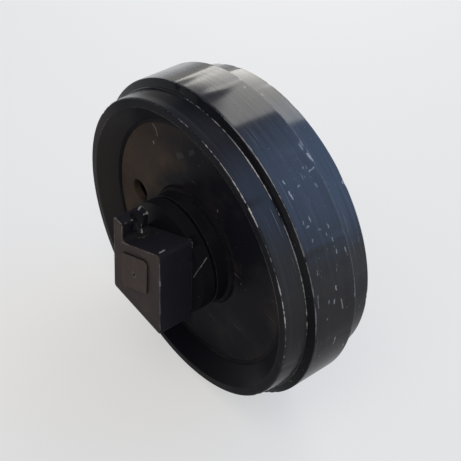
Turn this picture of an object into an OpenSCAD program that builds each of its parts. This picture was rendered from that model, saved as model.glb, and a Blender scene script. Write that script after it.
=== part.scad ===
// Front idler of a tracked excavator: a flanged wheel that turns on a fixed, oil-filled shaft
// held between two cast brackets. Millimetres, +Z up. The origin is the wheel's centre,
// Y runs along the shaft, +X points to the front of the machine and -X to the tensioner yoke.

/* [Rim] */
// Diameter of the running tread at the ends of the rim
tread_d = 525; // [500:0.5:550]
// Width of the rim over both end faces
rim_w = 167; // [150:0.5:185]
// Rise of the tread from the rim end to the foot of the guide flange
tread_rise = 3.9; // [1:0.1:6]
// Height of the guide flange above the tread at the rim end
flange_h = 17.5; // [12:0.5:24]
// Width of the guide flange at its top
flange_top_w = 79.6; // [70:0.2:86]
// Width of the guide flange at its foot
flange_foot_w = 91; // [88:0.5:110]
// Radial width of the flat face at each rim end
rim_edge_t = 15; // [10:0.5:20]
// Radial thickness of the rim between the discs, from the tread at its end
rim_wall = 18; // [14:0.5:26]
// Axial width of the lip that carries each disc
lip_w = 16; // [14:0.5:20]

/* [Side discs] */
// Distance over the outer faces of the two discs
disc_span = 108; // [100:0.5:116]
// Thickness of each disc
disc_t = 15; // [10:0.5:20]
// Radial width of the conical wall between the flat rim face and the disc
dish_run = 29.2; // [24:0.2:36]
// Height of the small step between the disc and the conical wall
dish_step = 2.7; // [1:0.1:5]
// Diameter of a core hole
core_hole_d = 40; // [24:1:60]
// Radius of the circle that the core holes lie on
core_hole_reach = 156; // [140:1:170]
// Number of core holes in each disc
core_hole_count = 1; // [1:1:4]

/* [Hub] */
// Diameter of the hub ends
hub_d = 196; // [180:1:210]
// Width of the hub over its ends
hub_w = 164; // [156:0.5:172]
// Diameter of the hub between the discs
hub_waist_d = 132; // [124:1:170]
// Width of the waist of the hub
hub_waist_w = 66; // [50:1:74]
// Diameter of the oil chamber in the middle of the hub
oil_chamber_d = 90; // [84:1:110]
// Width of the oil chamber
oil_chamber_w = 32; // [20:1:44]

/* [Welds] */
// Leg of the fillet weld between disc and hub
hub_weld_leg = 8; // [5:0.5:12]
// Depth of the groove weld between disc and rim
rim_weld_depth = 6; // [4:0.5:9]
// Crown of a weld above its flat
weld_crown = 1; // [0.4:0.1:1.6]

/* [Shaft and bushes] */
// Diameter of the shaft
shaft_d = 65; // [56:0.5:72]
// Thickness of the bracket wall beyond each end of the shaft
end_wall = 10; // [8:0.5:14]
// Chamfer on the shaft ends
shaft_chamfer = 3; // [1:0.5:5]
// Wall of the bimetal bushes
bush_wall = 6; // [4:0.5:8]
// Radial height of the bush flange above the bush body
bush_flange_h = 4.5; // [3:0.5:5]
// Thickness of the bush flange
bush_flange_t = 4; // [3:0.5:6]
// Radial running gap between bush and shaft
running_gap = 0.08; // [0.03:0.01:0.1]
// Axial gap between bush flange and bracket nose
thrust_gap = 0.3; // [0.3:0.1:0.8]
// Diameter of the oil drilling along the shaft
oil_drilling_d = 10; // [6:0.5:14]
// Diameter of the cross drilling into the oil chamber
oil_cross_d = 8; // [5:0.5:12]

/* [Floating seals] */
// Gap between the hub end and the bracket collar
seal_mouth = 4; // [2:0.2:6]
// Oil film between the two lapped seal faces
film_gap = 0.1; // [0.06:0.02:0.2]
// Radial gap between the bracket nose and the metal seal rings
nose_gap = 2.5; // [1:0.5:4]
// Radial wall of a seal ring under its toric
seal_neck_wall = 3.5; // [2.5:0.5:6]
// Radial height of the lapped head above the neck
seal_head_h = 5; // [3:0.5:7]
// Thickness of the lapped head of a seal ring
seal_head_t = 4; // [3:0.2:4.6]
// Length of a seal ring along the shaft
seal_len = 12.5; // [12:0.5:14]
// Radial space for a toric between its ring and its seat
toric_space = 9; // [8:0.5:10]
// Depth of the seal seat in the hub
hub_seat_depth = 16; // [15:0.5:19]
// Depth of the seal seat in the bracket collar
collar_seat_depth = 14; // [13:0.5:17]

/* [Brackets] */
// Distance over the outer faces of the two brackets
bracket_span = 340; // [334:0.5:350]
// Thickness of the bracket block along the shaft
bracket_t = 62; // [54:0.5:68]
// Distance from the shaft axis to the yoke face
yoke_face_x = 61; // [56:0.5:70]
// Distance from the shaft axis to the front face at its foot
front_foot_x = 70; // [64:0.5:78]
// Distance from the shaft axis to the front face at its top
front_top_x = 61.5; // [56:0.5:66]
// Distance from the shaft axis down to the slide face
slide_face_z = 82; // [76:0.5:92]
// Distance from the shaft axis to the slanted pin face
pin_face_reach = 53; // [48:0.5:60]
// Slant of the pin face
pin_face_slant = 28.4; // [20:0.2:34]
// Thickness of the upright yoke ear
ear_t = 23; // [20:0.5:26]
// Height of the ear above the shaft axis
ear_z = 78; // [74:0.5:90]
// Setback of the ear from the wheel side of the block
ear_setback = 12; // [6:0.5:16]
// Fillet between ear and pin face
ear_fillet = 7; // [4:0.5:9]
// Corner radius of the cast block
block_corner = 5; // [2:0.5:8]
// Diameter of the round collar that covers the seal
collar_d = 194; // [180:1:206]
// Wall of the nose that bears on the bush flange
nose_wall = 10.5; // [8:0.5:11]

/* [Face pad] */
// Width of the raised pad on the outer face
pad_w = 69; // [50:0.5:80]
// Upright height of the pad
pad_h = 75; // [50:0.5:80]
// Rise of the pad above the outer face
pad_rise = 3.5; // [1:0.5:5]
// Corner radius of the pad
pad_corner = 7; // [3:0.5:12]
// Height of the middle of the pad above the shaft axis
pad_z = 3; // [0:0.5:6]

/* [Lock pins] */
// Diameter of the lock pins
pin_d = 16; // [12:0.5:20]
// Distance of the pins from the outer face of their bracket
pin_inset = 31; // [24:0.5:36]
// Reach of a pin into the bracket below the shaft
pin_bite = 9.5; // [6:0.5:16]
// Ledge that the pin plug sits on, around the pin
pin_ledge = 2; // [1:0.5:4]
// Thickness of the pin plug
pin_plug_t = 8; // [6:0.5:10]
// Height of the plug above the pin face
pin_plug_proud = 2; // [0.5:0.5:4]

/* [Oil plugs] */
// Diameter of the oil plug thread
oil_plug_d = 13; // [10:0.5:18]
// Gap between an oil plug and the end of the shaft
oil_plug_gap = 0.5; // [0.3:0.1:2]
// Key size of the hexagon sockets in the plugs
socket_af = 6; // [4:0.5:8]
// Depth of the hexagon sockets
socket_depth = 4; // [2:0.5:5]

/* [Yoke bolts] */
// Core diameter of the tapped yoke bolt holes
yoke_hole_d = 17.5; // [12:0.5:18]
// Distance of the upper hole from the top of the ear
yoke_upper_edge = 15; // [13:0.5:18]
// Distance of the lower hole from the slide face
yoke_lower_edge = 30; // [20:0.5:36]
// Depth of the lower, blind hole
yoke_hole_depth = 30; // [24:1:40]

/* [O-rings] */
// Section diameter of the shaft O-rings
oring_section = 3.5; // [2.5:0.1:4.5]
// Distance of the O-rings from the wheel side of the bracket block, towards the outer face
oring_inset = 4; // [0:0.5:8]

/* [Clearances] */
// Gap in the fixed fits: bush in hub, shaft in bracket, pin and plugs in their holes
fit_gap = 0.03; // [0.01:0.01:0.06]
// Gap between welds, discs and what they join
joint_gap = 0.05; // [0.02:0.01:0.1]
// Gap of a rubber ring to its groove
rubber_gap = 0.1; // [0.05:0.05:0.3]

/* [Hidden] */
$fn = 96;
over = 1;

paint = [0.05, 0.05, 0.06];
weld_paint = [0.08, 0.08, 0.09];
bright_steel = [0.62, 0.62, 0.64];
bronze = [0.66, 0.5, 0.28];
black_rubber = [0.03, 0.03, 0.03];

// Radii and stations of the wheel, for one half with y counted outwards
tread_r = tread_d / 2;
flange_r = tread_r + flange_h;
rim_y = rim_w / 2;
dish_r = tread_r - rim_edge_t - dish_run;
disc_y = disc_span / 2;
disc_in_y = disc_y - disc_t;
lip_y = disc_y + dish_step;
lip_in_y = lip_y - lip_w;
rim_bore_r = tread_r - rim_wall;
hub_r = hub_d / 2;
hub_y = hub_w / 2;

// Radii and stations of bushes and seals
shaft_r = shaft_d / 2;
bush_in_r = shaft_r + running_gap;
bush_out_r = bush_in_r + bush_wall;
hub_bore_r = bush_out_r + fit_gap;
bush_in_y = oil_chamber_w / 2;
hub_seat_y = hub_y - hub_seat_depth;
bush_out_y = hub_seat_y + bush_flange_t;
nose_y = bush_out_y + thrust_gap;
collar_y = hub_y + seal_mouth;
collar_seat_y = collar_y + collar_seat_depth;
seal_plane_y = hub_y + seal_mouth / 2;
nose_r = shaft_r + nose_wall;
seal_bore_r = nose_r + nose_gap;
seal_neck_r = seal_bore_r + seal_neck_wall;
seal_face_r = seal_neck_r + seal_head_h;
seal_seat_r = seal_neck_r + toric_space;
seal_ramp = 1;
toric_mid_r = seal_neck_r + toric_space / 2;
toric_r = toric_space / 2 - rubber_gap;
toric_off = seal_head_t + seal_ramp + toric_r;

// Stations of the brackets and what they hold
outer_y = bracket_span / 2;
block_y = outer_y - bracket_t;
pad_y = outer_y + pad_rise;
shaft_y = outer_y - end_wall;
bracket_bore_r = shaft_r + fit_gap;
bracket_bore_y = shaft_y + fit_gap;
pin_y = outer_y - pin_inset;
pin_r = pin_d / 2;
pin_foot = shaft_r + pin_bite;
pin_plug_r = pin_r + pin_ledge;
pin_top = pin_face_reach + pin_plug_proud - pin_plug_t;
ear_x = ear_t - yoke_face_x;
ear_in_y = block_y + ear_setback;
oring_y = block_y + oring_inset;
oring_r = oring_section / 2;
oring_mid_r = bracket_bore_r - rubber_gap - oring_r;
oring_groove_r = oring_mid_r - oring_r - rubber_gap;
yoke_hole_y = (ear_in_y + outer_y) / 2;
yoke_upper_z = ear_z - yoke_upper_edge;
yoke_lower_z = yoke_lower_edge - slide_face_z;
oil_plug_len = end_wall + pad_rise - oil_plug_gap;
plug_chamfer = 1;

// Height of the slanted pin face above the shaft axis at a place along X
function pin_face_z(x) = pin_face_reach / cos(pin_face_slant) + x * tan(pin_face_slant);

function unit(v) = v / norm(v);

// Points of the arc of radius r that rounds corner b between its neighbours a and c
function corner_arc(a, b, c, r, steps = 6) =
    let (to_a = unit(a - b), to_c = unit(c - b), half = acos(to_a * to_c) / 2)
    let (centre = b + unit(to_a + to_c) * r / sin(half), reach = r / tan(half))
    let (from = b + to_a * reach - centre, to = b + to_c * reach - centre)
    [for (i = [0:steps]) centre + r * unit(from * (1 - i / steps) + to * i / steps)];

// Outline with every corner rounded by the radius of the same place in the list
function rounded(points, radii) =
    let (count = len(points))
    [for (i = [0:count - 1])
        each corner_arc(points[(i + count - 1) % count], points[i], points[(i + 1) % count], radii[i])];

// Children turned so that their own Z runs along the shaft
module along_shaft() {
    rotate([-90, 0, 0]) children();
}

// Solid of revolution about the shaft from an outline of [radius, station] points
module turned(points) {
    along_shaft() rotate_extrude() polygon(points);
}

// Plain ring about the shaft between two radii and two stations
module ring(inner_r, outer_r, from_y, to_y) {
    turned([[inner_r, from_y], [outer_r, from_y], [outer_r, to_y], [inner_r, to_y]]);
}

// Flat outline in X and Z drawn out along the shaft between two stations
module drawn_out(from_y, to_y) {
    translate([0, to_y, 0]) rotate([90, 0, 0]) linear_extrude(to_y - from_y) children();
}

// Children turned so that their own Z leaves the shaft axis at right angles to the pin face
module along_pin() {
    translate([0, pin_y, 0]) rotate([0, -pin_face_slant, 0]) children();
}

// The side that the photograph shows is the mirror image of the far side
module near_side() {
    mirror([0, 1, 0]) children();
}

module hex_socket(depth) {
    translate([0, 0, -depth]) cylinder(d = socket_af / cos(30), h = depth + over, $fn = 6);
}

module tread_rim() {
    half = [
        [rim_bore_r, lip_in_y - (rim_bore_r - dish_r) / 4], [dish_r, lip_in_y], [dish_r, lip_y],
        [tread_r - rim_edge_t, rim_y], [tread_r, rim_y],
        [tread_r + tread_rise, flange_foot_w / 2], [flange_r, flange_top_w / 2]
    ];
    mirrored = [for (i = [len(half) - 1:-1:0]) [half[i][0], -half[i][1]]];
    color(paint) turned(concat(half, mirrored));
}

module side_disc() {
    disc_r = dish_r - joint_gap;
    bore_r = hub_r + joint_gap;
    color(paint) difference() {
        turned([
            [bore_r, disc_in_y], [disc_r, disc_in_y], [disc_r, disc_y - rim_weld_depth],
            [disc_r - rim_weld_depth, disc_y], [bore_r, disc_y]
        ]);
        for (i = [0:core_hole_count - 1])
            rotate([0, i * 360 / core_hole_count, 0])
                translate([-core_hole_reach, disc_in_y - over, 0])
                    along_shaft() cylinder(d = core_hole_d, h = disc_t + 2 * over);
    }
}

module hub() {
    shoulder = hub_waist_w / 2;
    waist_r = hub_waist_d / 2;
    half = [
        [oil_chamber_d / 2, bush_in_y], [hub_bore_r, bush_in_y], [hub_bore_r, hub_seat_y],
        [seal_seat_r, hub_seat_y], [seal_seat_r, hub_y], [hub_r, hub_y],
        [hub_r, shoulder], [waist_r, shoulder - (hub_r - waist_r) / 4]
    ];
    mirrored = [for (i = [len(half) - 1:-1:0]) [half[i][0], -half[i][1]]];
    color(paint) turned(concat(half, mirrored));
}

module rim_weld() {
    wall_r = dish_r - joint_gap;
    floor_y = disc_y - rim_weld_depth + 2 * joint_gap;
    toe_r = wall_r - rim_weld_depth + joint_gap;
    color(weld_paint) turned([
        [wall_r, floor_y], [wall_r, disc_y + weld_crown / 2],
        [wall_r - rim_weld_depth / 2, disc_y + weld_crown], [toe_r, disc_y + joint_gap]
    ]);
}

module hub_weld() {
    heel_r = hub_r + joint_gap;
    heel_y = disc_y + joint_gap;
    middle = hub_weld_leg / 2 + weld_crown * sin(45);
    color(weld_paint) turned([
        [heel_r, heel_y], [heel_r + hub_weld_leg, heel_y], [heel_r + middle, heel_y + middle],
        [heel_r, heel_y + hub_weld_leg]
    ]);
}

module bush() {
    color(bronze) turned([
        [bush_in_r, bush_in_y], [bush_out_r, bush_in_y], [bush_out_r, hub_seat_y],
        [bush_out_r + bush_flange_h, hub_seat_y], [bush_out_r + bush_flange_h, bush_out_y],
        [bush_in_r, bush_out_y]
    ]);
}

// Metal seal ring on one side of the seal plane: direction 1 is the bracket side, -1 the wheel side
module seal_ring(direction) {
    face = film_gap / 2;
    stations = [
        [seal_bore_r, face], [seal_face_r, face], [seal_face_r, seal_head_t],
        [seal_neck_r, seal_head_t + seal_ramp], [seal_neck_r, seal_len], [seal_bore_r, seal_len]
    ];
    color(bright_steel) turned([for (p = stations) [p[0], seal_plane_y + direction * p[1]]]);
}

module toric(direction) {
    color(black_rubber)
        along_shaft() translate([0, 0, seal_plane_y + direction * toric_off])
            rotate_extrude() translate([toric_mid_r, 0]) circle(r = toric_r, $fn = 48);
}

module shaft() {
    groove_w = oring_section + 2 * rubber_gap;
    color(bright_steel) difference() {
        turned([
            [0, -shaft_y], [shaft_r - shaft_chamfer, -shaft_y], [shaft_r, shaft_chamfer - shaft_y],
            [shaft_r, shaft_y - shaft_chamfer], [shaft_r - shaft_chamfer, shaft_y], [0, shaft_y]
        ]);
        translate([0, -shaft_y - over, 0])
            along_shaft() cylinder(d = oil_drilling_d, h = 2 * (shaft_y + over));
        cylinder(d = oil_cross_d, h = shaft_d + 2 * over, center = true);
        for (side = [-1, 1]) {
            ring(oring_groove_r, shaft_d, side * oring_y - groove_w / 2, side * oring_y + groove_w / 2);
            mirror([0, side < 0 ? 1 : 0, 0]) along_pin()
                cylinder(r = pin_r + fit_gap, h = shaft_d + 2 * over, center = true);
        }
    }
}

module shaft_oring() {
    color(black_rubber)
        along_shaft() translate([0, 0, oring_y])
            rotate_extrude() translate([oring_mid_r, 0]) circle(r = oring_r, $fn = 48);
}

module block_outline() {
    foot_front = [front_foot_x, -slide_face_z];
    top_front = [front_top_x, pin_face_z(front_top_x)];
    polygon(rounded(
        [[-yoke_face_x, -slide_face_z], foot_front, top_front, [-yoke_face_x, pin_face_z(-yoke_face_x)]],
        [for (i = [0:3]) block_corner]));
}

module ear_outline() {
    root_x = ear_x + 3 * ear_fillet;
    root = [root_x, pin_face_z(root_x)];
    below = [root_x, 0];
    corner = [ear_x, pin_face_z(ear_x)];
    polygon(rounded(
        [[-yoke_face_x, 0], below, root, corner, [ear_x, ear_z], [-yoke_face_x, ear_z]],
        [1, 1, 1, ear_fillet, block_corner, block_corner]));
}

module pad_outline() {
    lean = pad_w / 2 * tan(pin_face_slant);
    low = pad_z - pad_h / 2;
    high = pad_z + pad_h / 2;
    polygon(rounded(
        [[-pad_w / 2, low - lean], [pad_w / 2, low + lean], [pad_w / 2, high + lean],
            [-pad_w / 2, high - lean]],
        [for (i = [0:3]) pad_corner]));
}

module bracket() {
    color(paint) difference() {
        union() {
            drawn_out(block_y, outer_y) block_outline();
            drawn_out(ear_in_y, outer_y) ear_outline();
            drawn_out(outer_y - over, pad_y) pad_outline();
            ring(0, collar_d / 2, collar_y, block_y + over);
            ring(0, nose_r, nose_y, collar_seat_y + over);
        }
        ring(nose_r, seal_seat_r, collar_y - over, collar_seat_y);
        ring(0, bracket_bore_r, nose_y - over, bracket_bore_y);
        translate([0, shaft_y, 0])
            along_shaft() cylinder(d = oil_plug_d + 2 * fit_gap, h = pad_y - shaft_y + over);
        along_pin() {
            translate([0, 0, -pin_foot - fit_gap])
                cylinder(r = pin_r + fit_gap, h = pin_foot + pin_top + over);
            translate([0, 0, pin_top]) cylinder(r = pin_plug_r + fit_gap, h = pin_face_reach);
        }
        translate([-yoke_face_x - over, yoke_hole_y, yoke_upper_z])
            rotate([0, 90, 0]) cylinder(d = yoke_hole_d, h = ear_t + 2 * over);
        translate([-yoke_face_x - over, yoke_hole_y, yoke_lower_z])
            rotate([0, 90, 0]) cylinder(d = yoke_hole_d, h = yoke_hole_depth + over);
    }
}

module lock_pin() {
    color(bright_steel) along_pin()
        translate([0, 0, -pin_foot]) cylinder(r = pin_r, h = pin_foot + pin_top - fit_gap);
}

module pin_plug() {
    color(weld_paint) along_pin() translate([0, 0, pin_top]) difference() {
        rotate_extrude() polygon([[0, 0], [pin_plug_r, 0], [pin_plug_r, pin_plug_t - plug_chamfer],
            [pin_plug_r - plug_chamfer, pin_plug_t], [0, pin_plug_t]]);
        translate([0, 0, pin_plug_t]) hex_socket(socket_depth);
    }
}

module oil_plug() {
    plug_r = oil_plug_d / 2;
    color(bright_steel) translate([0, pad_y - oil_plug_len, 0]) along_shaft() difference() {
        rotate_extrude() polygon([[0, 0], [plug_r, 0], [plug_r, oil_plug_len - plug_chamfer],
            [plug_r - plug_chamfer, oil_plug_len], [0, oil_plug_len]]);
        translate([0, 0, oil_plug_len]) hex_socket(socket_depth);
    }
}

tread_rim();
near_side() side_disc();  // near_side_disc
side_disc();  // far_side_disc
hub();
near_side() rim_weld();  // near_rim_weld
rim_weld();  // far_rim_weld
near_side() hub_weld();  // near_hub_weld
hub_weld();  // far_hub_weld
near_side() bush();  // near_bush
bush();  // far_bush
near_side() seal_ring(-1);  // near_rotating_seal_ring
seal_ring(-1);  // far_rotating_seal_ring
near_side() toric(-1);  // near_rotating_toric
toric(-1);  // far_rotating_toric
near_side() seal_ring(1);  // near_fixed_seal_ring
seal_ring(1);  // far_fixed_seal_ring
near_side() toric(1);  // near_fixed_toric
toric(1);  // far_fixed_toric
shaft();
near_side() shaft_oring();  // near_shaft_oring
shaft_oring();  // far_shaft_oring
near_side() bracket();  // near_bracket
bracket();  // far_bracket
near_side() lock_pin();  // near_lock_pin
lock_pin();  // far_lock_pin
near_side() pin_plug();  // near_pin_plug
pin_plug();  // far_pin_plug
near_side() oil_plug();  // near_oil_plug
oil_plug();  // far_oil_plug
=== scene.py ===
"""Front idler of a tracked excavator: turned and welded wheel, cast brackets, worn black paint."""

import functools
import logging
import math
import random
from dataclasses import dataclass
from enum import Enum
from typing import Callable, Optional, Sequence, Union

import bmesh
import bpy
from mathutils import Matrix, Vector


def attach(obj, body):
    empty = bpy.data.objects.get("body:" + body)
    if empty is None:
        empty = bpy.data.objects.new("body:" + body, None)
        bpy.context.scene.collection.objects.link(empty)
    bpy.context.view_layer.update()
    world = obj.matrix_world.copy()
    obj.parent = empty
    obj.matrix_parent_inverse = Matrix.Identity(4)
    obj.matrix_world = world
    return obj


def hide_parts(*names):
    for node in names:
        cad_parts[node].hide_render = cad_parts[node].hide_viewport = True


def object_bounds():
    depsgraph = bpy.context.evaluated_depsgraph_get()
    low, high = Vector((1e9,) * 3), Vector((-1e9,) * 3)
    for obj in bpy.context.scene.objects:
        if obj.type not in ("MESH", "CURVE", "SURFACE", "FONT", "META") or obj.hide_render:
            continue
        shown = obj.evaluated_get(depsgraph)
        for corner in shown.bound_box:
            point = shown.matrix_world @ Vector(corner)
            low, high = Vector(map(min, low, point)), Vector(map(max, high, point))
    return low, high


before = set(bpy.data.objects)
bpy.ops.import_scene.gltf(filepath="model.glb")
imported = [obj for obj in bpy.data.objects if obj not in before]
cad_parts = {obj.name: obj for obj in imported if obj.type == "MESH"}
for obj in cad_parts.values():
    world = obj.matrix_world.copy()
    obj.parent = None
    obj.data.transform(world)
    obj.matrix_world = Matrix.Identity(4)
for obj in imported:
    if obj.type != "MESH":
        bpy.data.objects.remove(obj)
CAD_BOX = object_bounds()

LOG = logging.getLogger("front_idler")
MM = 0.001
FULL_TURN = 2.0 * math.pi
SEED_STEP = (17.3, -5.1, 9.7)
SOFT_EDGE = 50.0
CREASE = 35.0

Colour = tuple[float, float, float]
Spot = tuple[float, float, float]
Span = tuple[float, float]
Value = Union[float, Sequence[float], "Term"]
Shift = Callable[[float, float, float], tuple[float, float]]


class Side(Enum):
    """The two sides of the idler. The camera looks at the near one."""

    NEAR = "near"
    FAR = "far"

    @property
    def sign(self) -> int:
        """Which way along Y the side lies."""
        return -1 if self is Side.NEAR else 1

    def node(self, piece: str) -> str:
        """Name of the CAD node of a piece on this side."""
        return f"{self.value}_{piece}"


class Body(Enum):
    """The two moving bodies of the frame."""

    WHEEL = "wheel"
    CARRIAGE = "carriage"


class Term:
    """A node socket that can be reckoned with like a number or a vector."""

    def __init__(self, graph: "Graph", socket: bpy.types.NodeSocket) -> None:
        """Keep the graph and the socket."""
        self.graph = graph
        self.socket = socket

    def output(self, name: str) -> "Term":
        """Another output of the node that this term comes from."""
        return Term(self.graph, self.socket.node.outputs[name])

    def reckon(self, operation: str, *values: Value) -> "Term":
        """Add the Math or Vector Math node for one operation.

        Args:
            operation: Blender's name of the operation.
            values: The operands, in order.

        Returns:
            The result of the operation.
        """
        if self.socket.type != "VECTOR":
            return self.graph.node("ShaderNodeMath", {"operation": operation}, dict(enumerate(values)))
        filled = [(v, v, v) if isinstance(v, (int, float)) else v for v in values]
        return self.graph.node("ShaderNodeVectorMath", {"operation": operation}, dict(enumerate(filled)))

    def __add__(self, other: Value) -> "Term":
        """Sum."""
        return self.reckon("ADD", self, other)

    def __radd__(self, other: Value) -> "Term":
        """Sum with the term on the right."""
        return self.reckon("ADD", other, self)

    def __sub__(self, other: Value) -> "Term":
        """Difference."""
        return self.reckon("SUBTRACT", self, other)

    def __rsub__(self, other: Value) -> "Term":
        """Difference with the term on the right."""
        return self.reckon("SUBTRACT", other, self)

    def __mul__(self, other: Value) -> "Term":
        """Product."""
        return self.reckon("MULTIPLY", self, other)

    def __rmul__(self, other: Value) -> "Term":
        """Product with the term on the right."""
        return self.reckon("MULTIPLY", other, self)

    def __truediv__(self, other: Value) -> "Term":
        """Quotient."""
        return self.reckon("DIVIDE", self, other)

    def __rtruediv__(self, other: Value) -> "Term":
        """Quotient with the term on the right."""
        return self.reckon("DIVIDE", other, self)

    def __pow__(self, other: Value) -> "Term":
        """Power of a number."""
        return self.reckon("POWER", self, other)

    def __abs__(self) -> "Term":
        """Size without sign."""
        return self.reckon("ABSOLUTE", self)

    def least(self, other: Value) -> "Term":
        """The smaller of two values."""
        return self.reckon("MINIMUM", self, other)

    def most(self, other: Value) -> "Term":
        """The greater of two values."""
        return self.reckon("MAXIMUM", self, other)

    def swing(self, amount: float) -> "Term":
        """A noise value, which lies about 0.5, as a swing about 0."""
        return (self - 0.5) * amount


class Graph:
    """A node tree that is built up term by term."""

    def __init__(self, tree: bpy.types.NodeTree) -> None:
        """Start from an empty tree."""
        self.tree = tree
        self.tree.nodes.clear()

    @classmethod
    def for_material(cls, name: str) -> "Graph":
        """Start a new material.

        Args:
            name: Name of the material.

        Returns:
            The graph of its nodes.
        """
        material = bpy.data.materials.new(name)
        material.use_nodes = True
        return cls(material.node_tree)

    def node(self, kind: str, settings: Optional[dict[str, object]] = None,
             inputs: Optional[dict[Union[str, int], Value]] = None, output: Union[str, int] = 0) -> Term:
        """Add one node.

        Args:
            kind: Blender's type name of the node.
            settings: Properties of the node, set before its sockets.
            inputs: Values or terms for its sockets, by name or place.
            output: The output to go on with, by name or place.

        Returns:
            The chosen output.
        """
        made = self.tree.nodes.new(kind)
        for key, value in (settings or {}).items():
            setattr(made, key, value)
        for key, value in (inputs or {}).items():
            socket = made.inputs[key]
            if isinstance(value, Term):
                self.tree.links.new(value.socket, socket)
            else:
                socket.default_value = (*value, 1.0) if socket.type == "RGBA" else value
        return Term(self, made.outputs[output])

    def noise(self, vector: Term, detail: float, roughness: float, seed: float = 0.0) -> Term:
        """Fractal noise about 0.5 with one grain for each unit of the vector.

        Args:
            vector: Place, already scaled to grains.
            detail: Number of finer octaves.
            roughness: Weight of the finer octaves.
            seed: Moves the place, so that layers differ.

        Returns:
            The noise value.
        """
        moved = vector + tuple(seed * part for part in SEED_STEP)
        return self.node("ShaderNodeTexNoise", {"noise_dimensions": "3D"},
                         {"Vector": moved, "Scale": 1.0, "Detail": detail, "Roughness": roughness})

    def ramp(self, value: Value, low: float, high: float) -> Term:
        """Eased step from 0 at low to 1 at high; low may be the greater.

        Args:
            value: What is ramped.
            low: Value that gives 0.
            high: Value that gives 1.

        Returns:
            The eased value.
        """
        return self.node("ShaderNodeMapRange", {"interpolation_type": "SMOOTHSTEP"},
                         {"Value": value, "From Min": low, "From Max": high})

    def mix(self, factor: Value, first: Value, second: Value) -> Term:
        """Colour between two colours.

        Args:
            factor: 0 gives the first, 1 the second.
            first: Colour at 0.
            second: Colour at 1.

        Returns:
            The mixed colour.
        """
        return self.node("ShaderNodeMix", {"data_type": "RGBA"}, {0: factor, 6: first, 7: second}, output=2)

    def place(self) -> Term:
        """Place of the shaded point in its piece's own coordinates."""
        return self.node("ShaderNodeTexCoord", output="Object")

    def scratch(self, point: Term, mark: "Scratch", ragged: Term) -> Term:
        """Mask of one straight scratch.

        Args:
            point: Place of the shaded point.
            mark: The scratch.
            ragged: Swing that breaks up its outline, in widths of the scratch.

        Returns:
            The mask, from 0 to the scratch's share.
        """
        start = Vector(mark.start) * MM
        run = Vector(mark.end) * MM - start
        away = point - tuple(start)
        along = self.node("ShaderNodeVectorMath", {"operation": "DOT_PRODUCT"},
                          {0: away, 1: tuple(run / run.length_squared)}, output="Value")
        foot = self.node("ShaderNodeVectorMath", {"operation": "SCALE"},
                         {0: tuple(run), "Scale": along.most(0.0).least(1.0)})
        gap = self.node("ShaderNodeVectorMath", {"operation": "LENGTH"}, {0: away - foot}, output="Value")
        return self.ramp(gap / (mark.width * MM) + ragged, 1.0, 0.4) * mark.share

    def scratched(self, pale: Term, point: Term, marks: Sequence["Scratch"], noise: Term) -> Term:
        """Add scratches to a mask.

        Args:
            pale: The mask so far.
            point: Place of the shaded point.
            marks: The scratches.
            noise: Fine noise that breaks up their outlines.

        Returns:
            The mask with the scratches.
        """
        ragged = noise.swing(2.2)
        for mark in marks:
            pale = pale.most(self.scratch(point, mark, ragged))
        return pale

    def surface(self, colour: Value, roughness: Value, metallic: Value, height: Term, lift: float,
                coat: Value = 0.0, **fixed: float) -> bpy.types.Material:
        """Join everything in a principled shader.

        Args:
            colour: Base colour.
            roughness: Roughness.
            metallic: Share of bare metal.
            height: Relief for the bump, about 0 to 1.
            lift: Height of the relief in metres.
            coat: Weight of the glossy top coat.
            fixed: Sockets that are the same all over, with _ for a space.

        Returns:
            The finished material.
        """
        bump = self.node("ShaderNodeBump", inputs={"Strength": 1.0, "Distance": lift, "Height": height})
        inputs = {"Base Color": colour, "Roughness": roughness, "Metallic": metallic, "Normal": bump,
                  "Coat Weight": coat}
        inputs.update({key.replace("_", " "): value for key, value in fixed.items()})
        return self.finish(self.node("ShaderNodeBsdfPrincipled", inputs=inputs))

    def finish(self, shader: Term) -> bpy.types.Material:
        """Lead the last shader to the material's output.

        Args:
            shader: The last shader.

        Returns:
            The finished material.
        """
        end = self.tree.nodes.new("ShaderNodeOutputMaterial")
        self.tree.links.new(shader.socket, end.inputs["Surface"])
        return next(m for m in bpy.data.materials if m.node_tree == self.tree)


@dataclass
class WheelSizes:
    """Sizes of the turned and welded wheel in millimetres and degrees, with stations from its middle."""

    tread_r: float = 262.5
    rim_y: float = 83.5
    foot_r: float = 266.4
    foot_y: float = 45.5
    flange_r: float = 280.0
    flange_y: float = 39.8
    face_in_r: float = 247.5
    bore_r: float = 244.5
    dish_r: float = 218.3
    lip_y: float = 56.7
    lip_in_y: float = 40.7
    disc_y: float = 54.0
    disc_in_y: float = 39.0
    hub_r: float = 98.0
    hub_y: float = 82.0
    waist_r: float = 66.0
    shoulder_y: float = 33.0
    seat_r: float = 58.0
    seat_y: float = 66.0
    hub_bore_r: float = 38.61
    chamber_r: float = 45.0
    chamber_y: float = 16.0
    core_hole_r: float = 20.0
    core_hole_reach: float = 156.0
    core_hole_angle: float = 180.0
    core_hole_flare: float = 1.6
    weld_groove: float = 6.0
    groove_root: float = 0.1
    groove_cap: float = 2.3
    groove_crown: float = 1.5
    weld_leg: float = 8.0
    fillet_crown: float = 1.2


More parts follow.
